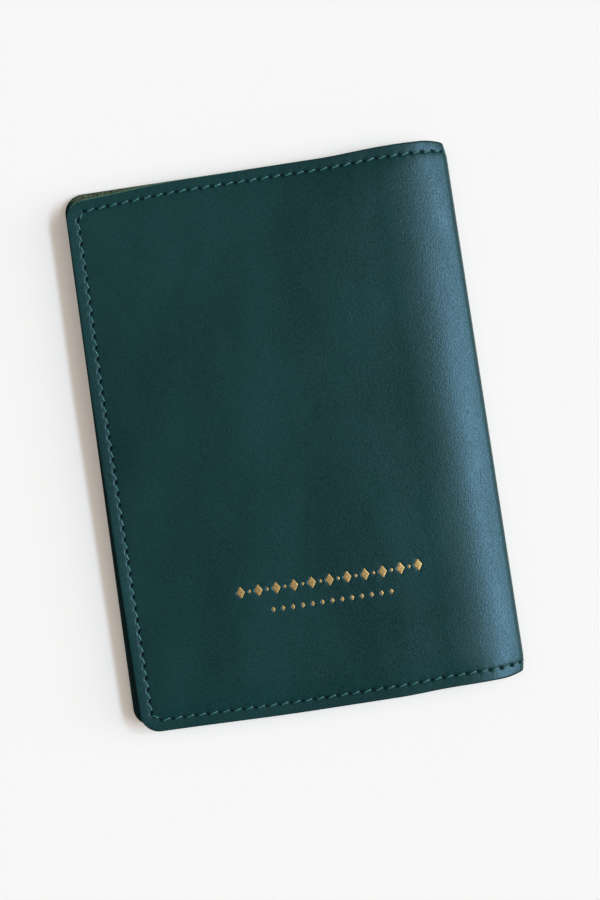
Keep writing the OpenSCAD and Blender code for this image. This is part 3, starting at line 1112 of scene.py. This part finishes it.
def across_the_cut(point):
    """The mirror image of a point, on the other side of the cut in the middle of the fold."""
    centre = np.array([NOSE_X, NOSE_R])
    outward = np.array([math.sin(NOSE_TURN / 2), -math.cos(NOSE_TURN / 2)])
    off = point - centre
    return centre + 2 * np.dot(off, outward) * outward - off


def across_back_fold(piece, layer):
    blend_along(piece, "back_half", "spine_fold", *fold_reach(layer))


def across_front_fold(piece, layer):
    start, end = fold_reach(layer)
    blend_along(piece, "spine_fold", "shoulder", across_the_cut(end), across_the_cut(start))


def across_shoulder(piece, _layer):
    """The shoulder is broad, so its layers are all given the same stretch, which blend_along does not
    use.
    """
    blend_along(piece, "shoulder", "front_half", outer(S_SEAM_HIGH), outer(S_FRONT))


COVER_LAYER = (COVER_T / 2, COVER_T)
LINING_LAYER = ((COVER_T + SHELL_T) / 2, SHELL_T)

front_leather = make_front_cover()
back_leather = make_plain_cover("back_cover_leather", back_sheet, back_seam, (S_CUT_LOW,), 0.0)
spine_leather = make_plain_cover("spine_leather", fold_sheet, fold_seam, (S_CUT_LOW, S_CUT_HIGH))
for piece, across, nodes in (
    (front_leather, across_shoulder, ("front_cover", "front_shoulder")),
    (spine_leather, across_front_fold, ("spine",)),
    (back_leather, across_back_fold, ("back_cover",)),
):
    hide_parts(*nodes)
    across(piece, COVER_LAYER)

front_inner = make_lining("front_lining_leather", front_sheet, front_seam, (S_CUT_HIGH,))
spine_inner = make_lining("spine_lining_leather", fold_sheet, fold_seam, (S_CUT_LOW, S_CUT_HIGH))
back_inner = make_lining("back_lining_leather", back_sheet, back_seam, (S_CUT_LOW,))
for piece, across, nodes in (
    (front_inner, across_shoulder, ("front_lining", "shoulder_lining")),
    (spine_inner, across_front_fold, ("spine_lining",)),
    (back_inner, across_back_fold, ("back_lining",)),
):
    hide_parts(*nodes)
    across(piece, LINING_LAYER)

front_flap = make_flap("front_flap_leather", S_END - FLAP_EDGE, S_END, front_seam)
back_flap = make_flap("back_flap_leather", FLAP_EDGE, 0.0, back_seam)
for piece, body, node in (
    (front_flap, "front_half", "front_flap_pocket"),
    (back_flap, "back_half", "back_flap_pocket"),
):
    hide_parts(node)
    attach(piece, body)

pocket_names = [f"card_pocket_{step}" for step in ("lower", "middle", "upper")]
pocket_boxes = {node: node_box(node) for node in pocket_names}
low, high = pocket_boxes["card_pocket_lower"]
seam_low, seam_high = front_s(high[0]) + POCKET_SEAM, front_s(low[0]) - POCKET_SEAM
foot_y = low[1] + POCKET_SEAM
pocket_rows = {}
for node, (low, high) in pocket_boxes.items():
    is_lowest = not pocket_rows
    pocket_rows[node] = pocket_spans(seam_low, seam_high, foot_y, high[1] - 0.4, is_lowest)
    foot_y = high[1]
for node, spans in pocket_rows.items():
    leather = make_card_pocket(node, spans)
    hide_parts(node)
    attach(leather, "front_half")
    level = constant(STACK_T - pocket_boxes[node][0][2])
    sewing = stitches_piece(node + "_thread", spans, level, -1, 0.1)
    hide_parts("card_pocket_stitching")
    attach(sewing, "front_half")

front_nodes = ("front_stitching", "shoulder_stitching")
for name, spans, across, nodes, sink in (
    ("front_seam", seam_spans(front_seam), across_shoulder, front_nodes, 0.04),
    ("spine_seam", fold_spans(fold_seam), across_front_fold, ("spine_stitching",), 0.04),
    ("back_seam", seam_spans(back_seam), across_back_fold, ("back_stitching",), 0.2),
):
    outside = stitches_piece(name + "_outside", spans, constant(0.0), 1, sink)
    inside = stitches_piece(name + "_inside", spans, inner_level, -1, 0.06)
    for piece, layer in ((outside, COVER_LAYER), (inside, LINING_LAYER)):
        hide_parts(*nodes)
        across(piece, layer)

foil = foil_piece()
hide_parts("gilt_ornament")
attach(foil, "front_half")

# -------- floor, light and camera

FLOOR_GAP = 0.1


def pale_floor():
    bpy.ops.mesh.primitive_plane_add(size=6, location=(0, 0, -FLOOR_GAP * MM))
    floor = bpy.context.object
    floor.name = "floor"
    g = Graph("pale_floor", roughness=0.9, specular=0.1)
    g.shader.inputs["Base Color"].default_value = (0.893, 0.747, 0.652, 1)
    g.shader.inputs["Emission Color"].default_value = (1, 0.93, 0.86, 1)
    g.shader.inputs["Emission Strength"].default_value = 0.25
    floor.data.materials.append(g.material)


def sun(name, azimuth, elevation, spread, strength, colour):
    """A distant soft light. Azimuth 0 is from +X, 90 from +Y; spread is its width, in degrees."""
    light = bpy.data.lights.new(name, "SUN")
    light.energy = strength
    light.angle = math.radians(spread)
    light.color = colour
    lamp = bpy.data.objects.new(name, light)
    a, e = math.radians(azimuth), math.radians(elevation)
    towards = Vector((math.cos(a) * math.cos(e), math.sin(a) * math.cos(e), math.sin(e)))
    lamp.rotation_mode = "QUATERNION"
    lamp.rotation_quaternion = towards.to_track_quat("Z", "Y")
    bpy.context.scene.collection.objects.link(lamp)


def soft_room():
    world = bpy.data.worlds.new("room")
    bpy.context.scene.world = world
    world.use_nodes = True
    background = world.node_tree.nodes["Background"]
    background.inputs["Color"].default_value = (0.9, 0.98, 1.0, 1)
    background.inputs["Strength"].default_value = 0.1
    for pane, azimuth in enumerate((-20, -4, 12)):
        sun(f"window_{pane}", azimuth, 50, 8, 0.82, (0.45, 0.7, 0.98))
    sun("window_foot", -4, 18, 30, 0.62, (0.45, 0.72, 1.0))
    sun("window_skirt", -6, 46, 63, 1.4, (1.0, 1.0, 0.92))
    sun("fill", 150, 62, 60, 0.22, (1.0, 0.94, 0.88))


def photo_camera():
    """Straight above the holder, turned so that the spine leans as it lies."""
    view_height = 230.4
    distance = 370.0
    turn = math.radians(8.75)
    centre = (0.79, -3.93)
    camera = bpy.data.cameras.new("camera")
    camera.sensor_width = 36
    camera.lens = 36 * distance / view_height
    camera.clip_start = 0.01
    eye = bpy.data.objects.new("camera", camera)
    eye.location = (centre[0] * MM, centre[1] * MM, (STACK_T + distance) * MM)
    eye.rotation_euler = (0, 0, -turn)
    bpy.context.scene.collection.objects.link(eye)
    bpy.context.scene.camera = eye


pale_floor()
soft_room()
photo_camera()
bpy.context.scene.view_settings.view_transform = "Standard"
